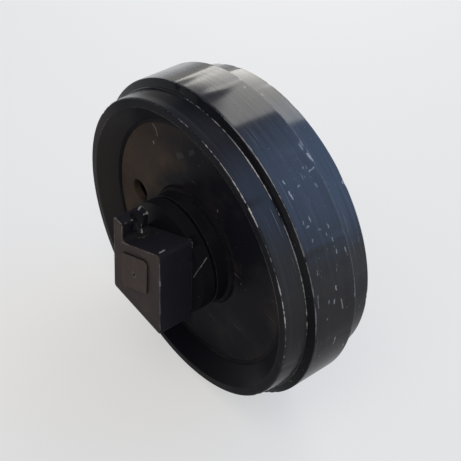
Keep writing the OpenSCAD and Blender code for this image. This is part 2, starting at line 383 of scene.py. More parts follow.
@dataclass(frozen=True)
class Scratch:
    """A straight scratch or, where it is short, a chip. Sizes in millimetres."""

    start: Spot
    end: Spot
    width: float
    share: float

    @classmethod
    def on_flange(cls, angle: float, station: float, turn: float, slant: float,
                  width: float, share: float) -> "Scratch":
        """Scratch on the guide flange.

        Args:
            angle: Angle of its first end round the wheel, in degrees from the front.
            station: Station of that end.
            turn: Degrees that it runs round the wheel towards the front.
            slant: How far it runs along the shaft.
            width: Its width.
            share: How bare the metal is.

        Returns:
            The scratch.
        """
        first, last = math.radians(angle), math.radians(angle - turn)
        reach = WheelSizes.flange_r
        return cls((reach * math.cos(first), station, reach * math.sin(first)),
                   (reach * math.cos(last), station + slant, reach * math.sin(last)), width, share)

    @classmethod
    def on_disc(cls, x: float, z: float, run: float, rise: float, width: float, share: float) -> "Scratch":
        """Scratch on the outer face of the near disc.

        Args:
            x: Place of its first end along X.
            z: Place of that end along Z.
            run: How far it runs along X.
            rise: How far it runs along Z.
            width: Its width.
            share: How much paint is gone.

        Returns:
            The scratch.
        """
        station = -WheelSizes.disc_y
        return cls((x, station, z), (x + run, station, z + rise), width, share)


@dataclass(frozen=True)
class RubbedEdge:
    """A turned edge that is rubbed bright, its pale line partly a painted highlight. Sizes in millimetres.
    """

    radius: float
    station: float
    width: float
    share: float


class WheelPlace:
    """Where a shaded point lies on the wheel: its radius, its station and its place around."""

    written_r: float = 0.27

    def __init__(self, graph: Graph) -> None:
        """Work out the place from the piece's own coordinates.

        Args:
            graph: Graph to build in.
        """
        self.graph = graph
        self.point = graph.place()
        self.x = graph.node("ShaderNodeSeparateXYZ", inputs={0: self.point})
        self.y = self.x.output("Y")
        self.z = self.x.output("Z")
        self.radius = (self.x * self.x + self.z * self.z) ** 0.5
        self.station = abs(self.y)

    def rolled(self, along: float, across: float) -> Term:
        """Place stretched round the wheel, for marks that run with it.

        Args:
            along: Grains per metre round the wheel, at the written radius.
            across: Grains per metre along the shaft and the radius.

        Returns:
            The stretched place.
        """
        reach = self.radius / (along * self.written_r)
        return self.graph.node("ShaderNodeCombineXYZ", inputs={
            0: self.x / reach, 1: (self.y + self.radius) * across, 2: self.z / reach})

    def near_edge(self, edge: RubbedEdge) -> Term:
        """How close the point is to an edge that runs round the wheel.

        Args:
            edge: The edge, on either side of the wheel.

        Returns:
            1 on the edge, falling to 0 at its width and below 0 beyond.
        """
        out = self.radius - edge.radius * MM
        along = self.station - edge.station * MM
        return 1.0 - (out * out + along * along) ** 0.5 / (edge.width * MM)


@dataclass(frozen=True)
class RimPaint:
    """Glossy black paint on the turned rim: brushed round the wheel, dusted low down, rubbed on its edges;
    with a painted shadow on the flange wall, painted shade that cuts the coat where the rim lies in shade,
    and painted highlights on the lit side of the rubbed edges.
    """

    slot: str = "rim_paint"
    deep: Colour = (0.0085, 0.0090, 0.0115)
    dull: Colour = (0.030, 0.030, 0.032)
    dust: Colour = (0.058, 0.050, 0.045)
    bare: Colour = (0.50, 0.50, 0.49)
    shadow: Colour = (0.0030, 0.0038, 0.0055)
    roughness: float = 0.22
    specular: float = 0.025
    gloss: float = 1.0
    gloss_roughness: float = 0.12
    film: float = 0.0
    turned_r: Span = (0.2580, 0.2620)
    wall_top: Span = (0.0395, 0.0405)
    wall_foot: Span = (0.0470, 0.0452)
    edges: tuple[RubbedEdge, ...] = (
        RubbedEdge(WheelSizes.tread_r, WheelSizes.rim_y, 1.6, 0.90),
        RubbedEdge(WheelSizes.foot_r, WheelSizes.foot_y, 1.3, 0.60),
        RubbedEdge(WheelSizes.flange_r, WheelSizes.flange_y, 1.5, 0.35),
        RubbedEdge(WheelSizes.face_in_r, WheelSizes.rim_y, 1.2, 0.22),
    )
    marks: tuple[Scratch, ...] = (
        Scratch.on_flange(62.0, 36.5, 2.5, 2.0, 2.4, 0.55),
        Scratch.on_flange(59.0, 18.0, 0.3, 0.0, 1.6, 0.30),
        Scratch.on_flange(58.0, -23.5, 1.0, 1.0, 1.6, 0.45),
        Scratch.on_flange(57.0, 24.5, -0.5, 9.5, 1.8, 0.40),
        Scratch.on_flange(54.5, -5.5, -0.2, 3.0, 1.5, 0.35),
        Scratch.on_flange(54.3, -23.0, 2.3, 1.0, 1.8, 0.55),
        Scratch.on_flange(53.0, 23.0, 1.0, 1.0, 2.0, 0.22),
        Scratch.on_flange(42.8, -19.0, 0.0, 2.0, 1.8, 0.35),
        Scratch.on_flange(40.6, -1.5, 0.2, 2.5, 1.8, 0.22),
        Scratch.on_flange(38.8, -18.0, 0.7, -1.0, 1.4, 0.35),
        Scratch.on_flange(32.4, 16.5, 1.0, -0.5, 1.7, 0.45),
        Scratch.on_flange(29.4, -25.5, 1.3, -0.5, 1.3, 0.28),
        Scratch.on_flange(24.0, 41.0, 10.0, -3.0, 1.7, 0.36),
        Scratch.on_flange(21.6, -32.0, 4.2, -1.5, 1.3, 0.28),
        Scratch.on_flange(21.5, 2.5, 1.4, 0.5, 1.5, 0.55),
        Scratch.on_flange(18.0, -12.5, 1.3, -1.0, 1.3, 0.35),
        Scratch.on_flange(17.0, -2.5, 1.2, -1.0, 1.6, 0.50),
        Scratch.on_flange(16.0, 10.5, 4.0, 3.0, 1.4, 0.42),
        Scratch.on_flange(11.6, -18.0, 0.5, 0.5, 1.4, 0.35),
    )

    def rubbed_and_glinting_edges(self, graph: Graph, at: WheelPlace) -> Term:
        """Wear of the turned edges, with painted highlights: the pale lines are strongest on the front and
        upper side, where the edges catch the light, and held back low down and on the far side.

        Args:
            graph: Graph to build in.
            at: Place of the shaded point.

        Returns:
            Share of bare metal.
        """
        fray = graph.noise(at.point * 120.0, 5.0, 0.62, seed=7.0)
        gaps = graph.noise(at.rolled(11.0, 30.0), 2.0, 0.5, seed=2.0)
        # Painted highlight: the pale edge lines are raised on the front side and held back where the edges
        # lie in shade.
        far_side = graph.ramp(at.y, 0.0, 0.02) * graph.ramp(at.z, 0.24, 0.15)
        spared_in_shade = graph.ramp(at.z, 0.13, -0.05).most(far_side)
        wear_and_glint_bias = graph.ramp(at.x, -0.08, 0.10) * 0.60 - spared_in_shade * 0.9 - 0.25
        uneven = fray.swing(1.9) + gaps.swing(1.9) + wear_and_glint_bias
        masks = [graph.ramp(at.near_edge(edge) + uneven, 0.50, 0.90) * edge.share for edge in self.edges]
        return functools.reduce(Term.most, masks)

    def bare_metal(self, graph: Graph, at: WheelPlace, turned: Term, blotch: Term) -> Term:
        """Where paint is gone: streaks, rubbed edges, chips, specks and scratches.

        Args:
            graph: Graph to build in.
            at: Place of the shaded point.
            turned: 1 on the turned outside of the rim.
            blotch: Coarse noise that gathers the streaks.

        Returns:
            Share of bare metal.
        """
        streaks = graph.ramp(graph.noise(at.rolled(12.0, 480.0), 2.0, 0.5, seed=11.0), 0.66, 0.75)
        streaks = streaks * graph.ramp(blotch, 0.48, 0.58) * turned * 0.26
        exposed = turned * graph.ramp(at.y, -0.050, -0.040)
        patch = graph.ramp(graph.noise(at.point * 17.0, 2.0, 0.5, seed=23.0), 0.54, 0.62)
        chips = graph.ramp(graph.noise(at.rolled(50.0, 165.0), 3.0, 0.5, seed=13.0), 0.650, 0.690)
        specks = graph.ramp(graph.noise(at.point * 420.0, 1.0, 0.5, seed=17.0), 0.76, 0.80)
        pale = streaks.most(self.rubbed_and_glinting_edges(graph, at))
        pale = pale.most(chips * exposed * patch * 0.45).most(specks * exposed * 0.35)
        ragged = graph.noise(at.point * 330.0, 3.0, 0.6, seed=29.0)
        return graph.scratched(pale, at.point, self.marks, ragged)

    def build(self) -> bpy.types.Material:
        """Make the material.

        Returns:
            The finished paint.
        """
        graph = Graph.for_material(self.slot)
        at = WheelPlace(graph)
        turned = graph.ramp(at.radius, *self.turned_r)
        # Painted shadow: the side wall of the guide flange is darkened with the shadow colour and loses most
        # of its coat.
        shaded_wall = graph.ramp(at.station, *self.wall_top) * graph.ramp(at.station, *self.wall_foot) * turned
        brush = graph.noise(at.rolled(9.0, 430.0), 5.0, 0.68)
        bands = graph.noise(at.rolled(2.0, 120.0), 3.0, 0.5, seed=3.0)
        blotch = graph.noise(at.point * 13.0, 4.0, 0.6, seed=5.0)
        pale = self.bare_metal(graph, at, turned, blotch)
        # Dust settles low on the rim; this mask also cuts the coat there, painted shade that dims the
        # reflections on the lower rim.
        low = graph.ramp(at.z + blotch.swing(0.08), 0.20, 0.02) * turned
        # Painted light with dust: a lighter brown over the rear side of the dish, partly soil dust and
        # partly painted light on that side.
        rear_dust_and_light = graph.ramp(at.x, -0.15, -0.24) * self.film
        shade = graph.mix(graph.ramp(bands, 0.46, 0.70) * turned * 0.55, self.deep, self.dull)
        shade = graph.mix((low * 0.48).most(rear_dust_and_light), shade, self.dust)
        # Painted shadow on the flange wall.
        shade = graph.mix(shaded_wall * 0.85, shade, self.shadow)
        shade = graph.mix(pale, shade, self.bare)
        roughness = brush.swing(0.14) * turned + graph.ramp(blotch, 0.52, 0.68) * 0.10
        roughness = roughness + self.roughness + pale * 0.22
        coat: Value = 0.0
        if self.gloss:
            # Painted shade: the coat is cut on the rear part of the near tread, where the flange shades it
            # (less towards its outer edge), on the rear of the rim and on the flange wall.
            outward = graph.ramp(at.y, -0.064, -0.080)
            near_tread = graph.ramp(at.y, -0.046, -0.048) * graph.ramp(at.x, 0.05, -0.04)
            matt = (near_tread * (0.9 - outward * 0.45)).most(graph.ramp(at.x, -0.13, -0.20) * 0.6)
            matt = matt.most(shaded_wall * 0.75)
            coat = (1.0 - low * 0.95) * (1.0 - matt) * (brush.swing(0.8) + self.gloss) * (1.0 - pale)
        orange_peel = graph.noise(at.point * 260.0, 2.0, 0.5, seed=19.0)
        height = brush * turned * 0.55 + orange_peel * 0.35 - pale * 0.5
        return graph.surface(shade, roughness, pale * 0.55, height, 0.06 * MM, coat,
                             Specular_IOR_Level=self.specular, Coat_Roughness=self.gloss_roughness)


@dataclass(frozen=True)
class DiscPaint:
    """Thin black paint on the plate discs, with soil dust near the welds and a brown patch on the upper rear
    that is partly soil dust and partly painted light.
    """

    slot: str = "disc_paint"
    deep: Colour = (0.0110, 0.0112, 0.0146)
    dust: Colour = (0.118, 0.084, 0.056)
    pale: Colour = (0.32, 0.29, 0.25)
    roughness: float = 0.34
    specular: float = 0.015
    marks: tuple[Scratch, ...] = (
        Scratch.on_disc(-124.0, 168.5, 9.5, -3.5, 1.1, 0.75),
        Scratch.on_disc(-114.5, 165.0, 4.5, -11.5, 1.0, 0.65),
        Scratch.on_disc(-120.0, 133.5, 0.5, -1.5, 2.7, 0.95),
        Scratch.on_disc(-54.5, 151.5, 10.0, 8.5, 6.0, 0.08),
        Scratch.on_disc(-25.0, 177.0, 7.0, 9.0, 6.0, 0.08),
        Scratch.on_disc(50.5, 119.0, 0.0, -5.5, 1.0, 0.60),
        Scratch.on_disc(120.5, 15.0, 1.0, -1.5, 1.2, 0.50),
    )

    def build(self) -> bpy.types.Material:
        """Make the material.

        Returns:
            The finished paint.
        """
        graph = Graph.for_material(self.slot)
        at = WheelPlace(graph)
        cloud = graph.noise(at.point * 11.0, 5.0, 0.62, seed=4.0)
        grit = graph.noise(at.point * 230.0, 4.0, 0.6, seed=6.0)
        toes = graph.ramp(at.radius, 0.185, 0.214).most(graph.ramp(at.radius, 0.122, 0.104))
        # Painted light with dust: the brown patch over the upper rear of the disc stands partly for soil
        # dust and partly for the light on that part, fading out towards the top.
        film = graph.ramp(at.z - at.x * 1.8 + cloud.swing(0.14), 0.190, 0.295)
        film = film * (1.0 - graph.ramp(at.z, 0.115, 0.168) * 0.75)
        dust = graph.ramp(cloud + toes * 0.12, 0.48, 0.80) * 0.22 + film * (cloud * 0.5 + 0.24)
        dust = dust + graph.ramp(grit, 0.64, 0.82) * 0.16
        drawn_out = graph.node("ShaderNodeMapping", inputs={
            "Vector": at.point, "Rotation": (0.0, 0.55, 0.0), "Scale": (9.0, 60.0, 420.0)})
        hairlines = graph.ramp(graph.noise(drawn_out, 2.0, 0.5, seed=8.0), 0.70, 0.75)
        hairlines = hairlines * graph.ramp(cloud, 0.46, 0.56)
        specks = graph.ramp(graph.noise(at.point * 300.0, 1.0, 0.5, seed=9.0), 0.76, 0.80)
        shade = graph.mix(dust, self.deep, self.dust)
        pale = graph.scratched((hairlines * 0.8).most(specks * 0.7), at.point, self.marks, grit)
        shade = graph.mix(pale, shade, self.pale)
        mill = graph.noise(at.point * 60.0, 3.0, 0.5, seed=10.0)
        height = grit * 0.35 + mill * 0.65 - hairlines * 0.4
        return graph.surface(shade, self.roughness + dust * 0.25, 0.0, height, 0.22 * MM,
                             Specular_IOR_Level=self.specular)


@dataclass(frozen=True)
class HubPaint:
    """Black paint over the turned ends of the hub."""

    slot: str = "hub_paint"
    deep: Colour = (0.0105, 0.0108, 0.0140)
    dust: Colour = (0.030, 0.026, 0.023)
    bare: Colour = (0.34, 0.32, 0.30)
    roughness: float = 0.36
    specular: float = 0.02
    edge: RubbedEdge = RubbedEdge(WheelSizes.hub_r, WheelSizes.hub_y, 1.8, 0.10)

    def build(self) -> bpy.types.Material:
        """Make the material.

        Returns:
            The finished paint.
        """
        graph = Graph.for_material(self.slot)
        at = WheelPlace(graph)
        tool = graph.noise(at.rolled(7.0, 700.0), 4.0, 0.6, seed=1.0)
        cloud = graph.noise(at.point * 22.0, 4.0, 0.6, seed=3.0)
        fray = graph.noise(at.point * 190.0, 4.0, 0.6, seed=5.0)
        worn = graph.ramp(at.near_edge(self.edge) + fray.swing(1.8), 0.5, 0.9)
        dust = graph.ramp(cloud, 0.48, 0.76) * 0.35
        shade = graph.mix(worn * self.edge.share, graph.mix(dust, self.deep, self.dust), self.bare)
        return graph.surface(shade, self.roughness + tool.swing(0.2) + dust * 0.2, worn * 0.2,
                             tool * 0.7 + fray * 0.3, 0.10 * MM, Specular_IOR_Level=self.specular)


@dataclass(frozen=True)
class WeldPaint:
    """Paint over rippled weld beads: thin on the crests, dusty between them."""

    slot: str = "weld_paint"
    deep: Colour = (0.0080, 0.0082, 0.0106)
    dust: Colour = (0.030, 0.025, 0.022)
    rust: Colour = (0.055, 0.030, 0.018)
    roughness: float = 0.40
    specular: float = 0.02

    def build(self) -> bpy.types.Material:
        """Make the material.

        Returns:
            The finished paint.
        """
        graph = Graph.for_material(self.slot)
        point = graph.place()
        cloud = graph.noise(point * 30.0, 4.0, 0.6, seed=2.0)
        skin = graph.noise(point * 380.0, 4.0, 0.6, seed=4.0)
        dust = graph.ramp(cloud, 0.46, 0.72) * 0.4
        rust = graph.ramp(skin + cloud * 0.4, 0.80, 0.95) * 0.5
        shade = graph.mix(rust, graph.mix(dust, self.deep, self.dust), self.rust)
        return graph.surface(shade, self.roughness + dust * 0.25, 0.0, skin, 0.18 * MM,
                             Specular_IOR_Level=self.specular)


@dataclass(frozen=True)
class BracketPaint:
    """Black paint over a sand-cast skin, rubbed on the edges, brown on its outer face from soil dust and
    painted light, with painted shade on the pad walls and the collar and painted highlights where the
    corners catch the light.
    """

    slot: str = "bracket_paint"
    deep: Colour = (0.0205, 0.0207, 0.0262)
    dust: Colour = (0.125, 0.092, 0.070)
    bare: Colour = (0.36, 0.35, 0.33)
    roughness: float = 0.36
    specular: float = 0.02
    edge_width: float = 2.4 * MM
    outer_y: float = 0.170
    rear_y: float = 0.108
    collar_r: float = 0.0985
    yoke_x: float = 0.061
    slide_z: float = 0.082
    front_lean: float = 2.77
    front_reach: float = 0.0660
    pin_slant: float = 28.4
    pin_reach: float = 0.053
    ear_x: float = -0.038
    ear_z: float = 0.078
    ear_in_y: float = 0.120
    ear_root: float = 0.002
    pad_y: float = 0.1735
    pad_side_x: Span = (0.0270, 0.0330)
    off_edge: float = 40.0
    # Colour of the painted shade on the pad walls and on the collar.
    painted_shade: Colour = (0.0045, 0.0045, 0.0055)
    # Several of these chips and lines sit where the corners of the block and the ear catch the light: bare
    # paint that is partly wear and partly painted highlight.
    marks: tuple[Scratch, ...] = (
        Scratch((77.7, -92.0, 58.1), (83.0, -107.5, 50.5), 1.1, 0.60),
        Scratch((82.6, -109.1, 49.8), (70.5, -109.1, 18.0), 1.1, 0.40),
        Scratch((64.0, -108.8, 45.0), (69.0, -108.8, -60.0), 1.2, 0.07),
        Scratch((50.8, -160.5, 87.7), (50.0, -154.0, 87.3), 3.4, 1.0),
        Scratch((60.2, -147.0, 92.5), (61.2, -142.0, 93.0), 1.4, 0.45),
        Scratch((63.8, -169.3, 39.0), (64.2, -169.3, 30.0), 1.8, 0.60),
        Scratch((-39.6, -152.0, 76.4), (-39.6, -122.5, 76.4), 1.4, 0.60),
        Scratch((-39.6, -122.5, 76.4), (-39.6, -121.5, 76.4), 2.8, 0.95),
        Scratch((-52.0, -129.5, 77.5), (-55.5, -123.5, 77.5), 2.2, 0.85),
        Scratch((-39.9, -132.5, 57.6), (-37.2, -133.7, 48.2), 0.9, 0.35),
        Scratch((-37.2, -133.7, 48.2), (-34.1, -135.0, 43.7), 1.9, 0.90),
    )

    def edge_gap(self, graph: Graph, point: Term) -> Term:
        """Distance to the nearest long edge of the block or its ear.

        An edge is where two faces are near, so the gap to the second nearest face counts. Off the stretch
        that a face really has, its gap grows steeply.

        Args:
            graph: Graph to build in.
            point: Place of the shaded point.

        Returns:
            The distance in metres.
        """
        x = graph.node("ShaderNodeSeparateXYZ", inputs={0: point})
        z = x.output("Z")
        station = abs(x.output("Y"))
        lean = math.radians(self.front_lean)
        slant = math.radians(self.pin_slant)
        above = z * math.cos(slant) - x * math.sin(slant) - self.pin_reach
        below_ear = self.ear_in_y - self.ear_root - station
        off_slant = (self.ear_x - x).most(0.0) * self.off_edge
        off_ear = (0.0 - above).most(x - self.ear_x).most(below_ear).most(0.0) * self.off_edge
        on_collar = (self.collar_r - (x * x + z * z) ** 0.5).most(0.0) * self.off_edge
        gaps = [
            abs(station - self.outer_y), abs(station - self.rear_y) + on_collar, abs(x + self.yoke_x),
            abs(z + self.slide_z), abs(x * math.cos(lean) + z * math.sin(lean) - self.front_reach),
            abs(above) + off_slant, abs(x - self.ear_x) + off_ear, abs(z - self.ear_z) + off_ear,
            abs(station - self.ear_in_y) + off_ear,
        ]
        nearest = gaps[0].least(gaps[1])
        second = gaps[0].most(gaps[1])
        for gap in gaps[2:]:
            second = second.least(nearest.most(gap))
            nearest = nearest.least(gap)
        return second

    def build(self) -> bpy.types.Material:
        """Make the material.

        Returns:
            The finished paint.
        """
        graph = Graph.for_material(self.slot)
        point = graph.place()
        cloud = graph.noise(point * 19.0, 5.0, 0.62, seed=2.0)
        sand = graph.noise(point * 330.0, 5.0, 0.62, seed=4.0)
        lumps = graph.noise(point * 75.0, 3.0, 0.5, seed=6.0)
        fray = graph.noise(point * 140.0, 5.0, 0.6, seed=8.0)
        broken = graph.noise(point * 28.0, 2.0, 0.5, seed=9.0)
        edge = 1.0 - self.edge_gap(graph, point) / self.edge_width
        worn = graph.ramp(edge + fray.swing(1.7) + broken.swing(2.8), 0.60, 1.05)
        knocks = graph.ramp(graph.noise(point * 95.0, 2.0, 0.5, seed=12.0), 0.745, 0.77)
        across = graph.node("ShaderNodeSeparateXYZ", inputs={0: point})
        station = abs(across.output("Y"))
        front = graph.ramp(station, self.outer_y - 0.0018, self.outer_y - 0.0004)
        pad = graph.ramp(station, self.pad_y - 0.0010, self.pad_y - 0.0003)
        # Painted shade: the side walls of the raised pad are darkened to thin dark lines, less on the pad's
        # right side.
        shaded_wall = graph.ramp(station, self.outer_y + 0.0003, self.outer_y + 0.0008) * (1.0 - pad)
        shaded_wall = shaded_wall * (0.85 - graph.ramp(across, *self.pad_side_x) * 0.30)
        # Brown on the outer face and the pad: partly soil dust, partly painted light standing for the warm
        # light that face takes.
        dust = front * (graph.ramp(cloud, 0.30, 0.72) * 0.22 + 0.26) + pad * 0.22
        dust = dust + graph.ramp(sand, 0.58, 0.80) * 0.10 + graph.ramp(cloud, 0.50, 0.75) * 0.06
        shade = graph.mix(dust, self.deep, self.dust)
        # Painted highlight: edge wear is raised on the top of the ear and the highest corners of the block.
        high_edge_glint = graph.ramp(across.output("Z"), 0.066, 0.074)
        pale = (worn * (high_edge_glint * 0.20 + 0.20)).most(knocks * 0.25)
        pale = graph.scratched(pale, point, self.marks, sand)
        # Painted shade: the collar behind the block is darkened.
        collar_shade = graph.ramp(station, self.rear_y + 0.0020, self.rear_y + 0.0014)
        shade = graph.mix(shaded_wall.most(collar_shade * 0.50), shade, self.painted_shade)
        shade = graph.mix(pale, shade, self.bare)
        roughness = self.roughness + dust * 0.28 - worn * 0.08
        height = sand * 0.4 + lumps * 0.6 - worn * 0.25
        return graph.surface(shade, roughness, worn * 0.35, height, 0.35 * MM,
                             Specular_IOR_Level=self.specular)


@dataclass(frozen=True)
class PlugPaint:
    """Painted plug steel with the paint gone from its rim, dusted over on the outer faces."""

    slot: str = "plug_steel"
    deep: Colour = (0.016, 0.016, 0.018)
    dust: Colour = (0.050, 0.038, 0.030)
    bare: Colour = (0.30, 0.28, 0.26)
    roughness: float = 0.34
    specular: float = 0.2

    def build(self) -> bpy.types.Material:
        """Make the material.

        Returns:
            The finished paint.
        """
        graph = Graph.for_material(self.slot)
        point = graph.place()
        fray = graph.noise(point * 260.0, 4.0, 0.6, seed=3.0)
        fine = graph.noise(point * 900.0, 3.0, 0.6, seed=5.0)
        station = abs(graph.node("ShaderNodeSeparateXYZ", inputs={0: point}, output="Y"))
        dusty = graph.ramp(station, 0.160, 0.164)
        worn = graph.ramp(fray, 0.50, 0.62) * (1.0 - dusty * 0.95)
        shade = graph.mix(worn * 0.28, graph.mix(dusty, self.deep, self.dust), self.bare)
        return graph.surface(shade, self.roughness + fine.swing(0.2), worn * 0.35, fine, 0.06 * MM,
                             Specular_IOR_Level=self.specular)


@dataclass(frozen=True)
class TurnedMetal:
    """Bare metal with fine turning marks round the shaft and a film of oil."""

    slot: str
    light: Colour
    dark: Colour
    roughness: float

    def build(self) -> bpy.types.Material:
        """Make the material.

        Returns:
            The finished metal.
        """
        graph = Graph.for_material(self.slot)
        at = WheelPlace(graph)
        marks = graph.noise(at.rolled(5.0, 1600.0), 4.0, 0.65, seed=1.0)
        film = graph.noise(at.point * 45.0, 4.0, 0.6, seed=2.0)
        stain = graph.ramp(film, 0.42, 0.72)
        shade = graph.mix(stain * 0.7, self.light, self.dark)
        return graph.surface(shade, self.roughness + marks.swing(0.22) + stain * 0.1, 1.0 - stain * 0.15,
                             marks, 0.03 * MM)


@dataclass(frozen=True)
class BlackRubber:
    """Oily black rubber with a faint moulded skin."""

    slot: str = "black_rubber"
    deep: Colour = (0.012, 0.012, 0.013)
    bloom: Colour = (0.032, 0.032, 0.034)
    roughness: float = 0.48

    def build(self) -> bpy.types.Material:
        """Make the material.

        Returns:
            The finished rubber.
        """
        graph = Graph.for_material(self.slot)
        point = graph.place()
        skin = graph.noise(point * 700.0, 3.0, 0.6, seed=1.0)
        bloom = graph.ramp(graph.noise(point * 60.0, 4.0, 0.6, seed=2.0), 0.45, 0.75)
        shade = graph.mix(bloom * 0.6, self.deep, self.bloom)
        return graph.surface(shade, self.roughness + bloom * 0.15, 0.0, skin, 0.04 * MM)


# The dish paint's film is a lighter brown on its rear side: partly soil dust, partly painted light.
DISH = RimPaint(slot="dish_paint", deep=(0.0086, 0.0088, 0.0118), roughness=0.30, gloss=0.0, film=0.58,
                marks=())
Finish = Union[RimPaint, DiscPaint, HubPaint, WeldPaint, BracketPaint, PlugPaint, TurnedMetal, BlackRubber]
FINISHES: tuple[Finish, ...] = (
    RimPaint(), DISH, DiscPaint(), HubPaint(), WeldPaint(), BracketPaint(), PlugPaint(),
    TurnedMetal("ground_steel", (0.56, 0.56, 0.57), (0.30, 0.28, 0.25), 0.24),
    TurnedMetal("seal_iron", (0.36, 0.36, 0.37), (0.16, 0.15, 0.14), 0.26),
    TurnedMetal("bush_bronze", (0.62, 0.42, 0.19), (0.34, 0.22, 0.11), 0.30),
    BlackRubber(),
)


class PaintShop:
    """Builds each finish once and puts it on pieces."""

    def __init__(self) -> None:
        """Build every finish."""
        self.materials = {finish.slot: finish.build() for finish in FINISHES}

    def coat(self, piece: bpy.types.Object, slot: str, body: Body, *nodes: str) -> None:
        """Finish a new piece and put it in the frame.

        Args:
            piece: The new piece.
            slot: Its material slot in the record.
            body: The body that it moves with.
            nodes: CAD nodes that it stands for.
        """
        piece.data.materials.clear()
        piece.data.materials.append(self.materials[slot])
        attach(piece, body.value)
        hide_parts(*nodes)
        LOG.info("%s: %d faces, rides on %s", piece.name, len(piece.data.polygons), body.value)

    def coat_node(self, node: str, slot: str) -> None:
        """Finish a CAD node whose shape stays.

        Args:
            node: Name of the node.
            slot: Its material slot in the record.
        """
        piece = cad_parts[node]
        piece.data.materials.clear()
        piece.data.materials.append(self.materials[slot])
        LOG.info("%s: finished as %s", node, slot)


@dataclass(frozen=True)
class Corner:
    """One corner of a turned outline in millimetres, with the radius that rounds it."""

    radius: float
    station: float
    rounding: float

    @property
    def spot(self) -> Vector:
        """The corner as a point."""
        return Vector((self.radius, self.station))


def rounded_outline(corners: Sequence[Corner], steps: int = 5, support: float = 1.2,
                    room_share: float = 0.46) -> list[Vector]:
    """Draw a closed outline with its corners as arcs.

    Args:
        corners: The corners in order.
        steps: Chords in each arc.
        support: Distance of the extra points that keep the flats flat.
        room_share: Share of a side that the rounding at one of its ends may take.

    Returns:
        The points in order, in millimetres.
    """
    path: list[Vector] = []
    for index, corner in enumerate(corners):
        before = corners[index - 1].spot - corner.spot
        after = corners[(index + 1) % len(corners)].spot - corner.spot
        room = room_share * min(before.length, after.length)
        before.normalize()
        after.normalize()
        half = math.acos(max(-1.0, min(1.0, before.dot(after)))) / 2.0
        reach = min(corner.rounding / math.tan(half), room)
        centre = corner.spot + (before + after).normalized() * (reach / math.cos(half))
        start = corner.spot + before * reach - centre
        end = corner.spot + after * reach - centre
        arc = [centre + start.lerp(end, step / steps).normalized() * start.length
               for step in range(steps + 1)]
        beside = min(support, max(room - reach, 0.05))
        path += [arc[0] + before * beside, *arc, arc[-1] + after * beside]
    return path


def mirrored_outline(half: Sequence[Corner]) -> list[Corner]:
    """Close an outline with its mirror image across the middle of the wheel.

    Args:
        half: Corners at positive stations, in order.

    Returns:
        The corners of the whole outline.
    """
    return [*half, *(Corner(c.radius, -c.station, c.rounding) for c in reversed(half))]


def turned_mesh(name: str, outline: Sequence[Vector], segments: int, sign: int = 1,
                shift: Optional[Shift] = None) -> bpy.types.Object:
    """Turn a closed outline about the shaft.

    Args:
        name: Name of the new piece.
        outline: Points of radius and station in millimetres.
        segments: Segments round the shaft.
        sign: -1 mirrors the piece to the near side.
        shift: Moves a point at an angle, radius and station by a radius and a station, in millimetres.

    Returns:
        The new piece.
    """
    points = []
    for segment in range(segments):
        angle = FULL_TURN * segment / segments
        for radius, station in outline:
            out, along = shift(angle, radius, station) if shift else (0.0, 0.0)
            reach = (radius + out) * MM
            points.append((reach * math.cos(angle), sign * (station + along) * MM, reach * math.sin(angle)))
    count = len(outline)
    faces = []
    for segment in range(segments):
        here = segment * count
        there = (segment + 1) % segments * count
        faces += [(here + i, here + (i + 1) % count, there + (i + 1) % count, there + i)
                  for i in range(count)]
    mesh = bpy.data.meshes.new(name)
    mesh.from_pydata(points, [], faces)
    return finished_piece(name, mesh)


def finished_piece(name: str, mesh: bpy.types.Mesh, sharp: float = SOFT_EDGE) -> bpy.types.Object:
    """Turn the faces of a mesh outwards, smooth them and make a piece of it.

    Args:
        name: Name of the piece.
        mesh: Its mesh.
        sharp: Angle in degrees from which an edge stays sharp.

    Returns:
        The new piece in the scene.
    """
    work = bmesh.new()
    work.from_mesh(mesh)
    bmesh.ops.recalc_face_normals(work, faces=work.faces)
    work.to_mesh(mesh)
    work.free()
    mesh.polygons.foreach_set("use_smooth", [True] * len(mesh.polygons))
    mesh.set_sharp_from_angle(angle=math.radians(sharp))
    piece = bpy.data.objects.new(name, mesh)
    bpy.context.scene.collection.objects.link(piece)
    return piece


def cut_away(piece: bpy.types.Object, cutter: bpy.types.Object) -> bpy.types.Mesh:
    """Cut a shape out of a piece and remove both.

    Args:
        piece: The piece.
        cutter: The shape.

    Returns:
        The mesh that is left of the piece.
    """
    step = piece.modifiers.new("cut", "BOOLEAN")
    step.operation = "DIFFERENCE"
    step.solver = "EXACT"
    step.object = cutter
    bpy.context.view_layer.update()
    whole = piece.evaluated_get(bpy.context.evaluated_depsgraph_get())
    mesh = bpy.data.meshes.new_from_object(whole)
    for used in (piece, cutter):
        bpy.data.objects.remove(used)
    return mesh


@dataclass(frozen=True)
class Knock:
    """A small dent where the rim was struck."""

    angle: float
    radius: float
    station: float
    width: float
    depth: float

    def press(self, angle: float, radius: float, station: float) -> float:
        """How deep the dent is at a point.

        Args:
            angle: Angle of the point round the wheel.
            radius: Its radius in millimetres.
            station: Its station in millimetres.

        Returns:
            The depth in millimetres.
        """
        turn = (angle - self.angle + math.pi) % FULL_TURN - math.pi
        gap = math.hypot(turn * self.radius, radius - self.radius, station - self.station) / self.width
        return self.depth * (1.0 - gap * gap) ** 2 if gap < 1.0 else 0.0


